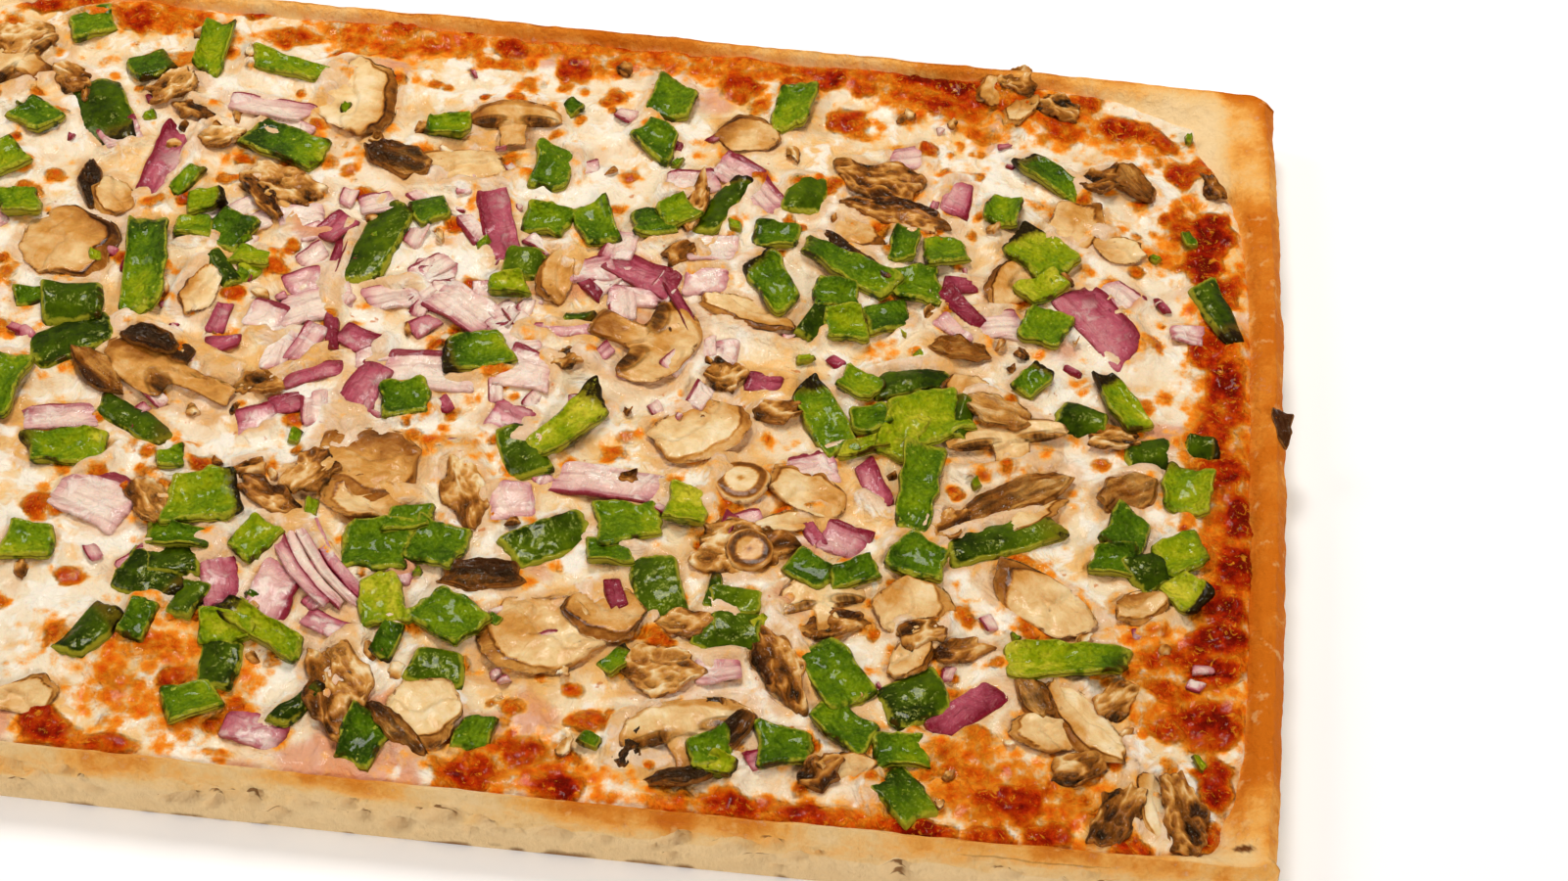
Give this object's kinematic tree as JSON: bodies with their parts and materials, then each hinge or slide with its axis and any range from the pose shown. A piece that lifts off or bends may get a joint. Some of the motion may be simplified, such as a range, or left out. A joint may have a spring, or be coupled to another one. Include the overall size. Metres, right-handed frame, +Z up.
{
  "type": "vegetable pizza",
  "caption": "Rectangular thick-crust pan pizza with a raised browned rim, melted cheese over red sauce, and scattered green pepper, red onion and mushroom pieces.",
  "frame": {"origin": "the middle of the crust's flat underside, on the surface that the pizza lies on", "axes": "+X along the long side, to the right in the picture; +Y across the pizza, away from the viewer in the picture; +Z up, out of the topping"},
  "size_m": [0.457, 0.305, 0.027],
  "materials": {
    "baked_dough": "dry pale baked dough, golden brown along the rim",
    "tomato_sauce": "wet red sauce",
    "melted_cheese": "oily cream cheese with orange and red-brown blisters",
    "green_pepper": "wet green skin and flesh with charred tips",
    "red_onion": "translucent pink and purple, softly glossy",
    "mushroom": "dry beige faces with brown edges and dark gills"
  },
  "bodies": {
    "root": {"crust": "baked_dough", "sauce": "tomato_sauce", "cheese": "melted_cheese", "pepper_01": "green_pepper", "pepper_02": "green_pepper", "pepper_03": "green_pepper", "pepper_04": "green_pepper", "pepper_05": "green_pepper", "pepper_06": "green_pepper", "pepper_07": "green_pepper", "pepper_08": "green_pepper", "pepper_09": "green_pepper", "pepper_10": "green_pepper", "pepper_11": "green_pepper", "pepper_12": "green_pepper", "pepper_13": "green_pepper", "pepper_14": "green_pepper", "pepper_15": "green_pepper", "pepper_16": "green_pepper", "pepper_17": "green_pepper", "pepper_18": "green_pepper", "pepper_19": "green_pepper", "pepper_20": "green_pepper", "pepper_21": "green_pepper", "pepper_22": "green_pepper", "pepper_23": "green_pepper", "onion_01": "red_onion", "onion_02": "red_onion", "onion_03": "red_onion", "onion_04": "red_onion", "onion_05": "red_onion", "onion_06": "red_onion", "onion_07": "red_onion", "onion_08": "red_onion", "onion_09": "red_onion", "onion_10": "red_onion", "onion_11": "red_onion", "onion_12": "red_onion", "mushroom_01": "mushroom", "mushroom_02": "mushroom", "mushroom_03": "mushroom", "mushroom_04": "mushroom", "mushroom_05": "mushroom", "mushroom_06": "mushroom", "mushroom_07": "mushroom", "mushroom_08": "mushroom", "mushroom_09": "mushroom", "mushroom_10": "mushroom", "mushroom_11": "mushroom", "mushroom_12": "mushroom", "mushroom_13": "mushroom", "mushroom_14": "mushroom", "mushroom_15": "mushroom", "mushroom_16": "mushroom", "mushroom_17": "mushroom", "mushroom_18": "mushroom", "mushroom_19": "mushroom", "mushroom_20": "mushroom", "mushroom_21": "mushroom", "mushroom_22": "mushroom"}
  },
  "joints": []
}
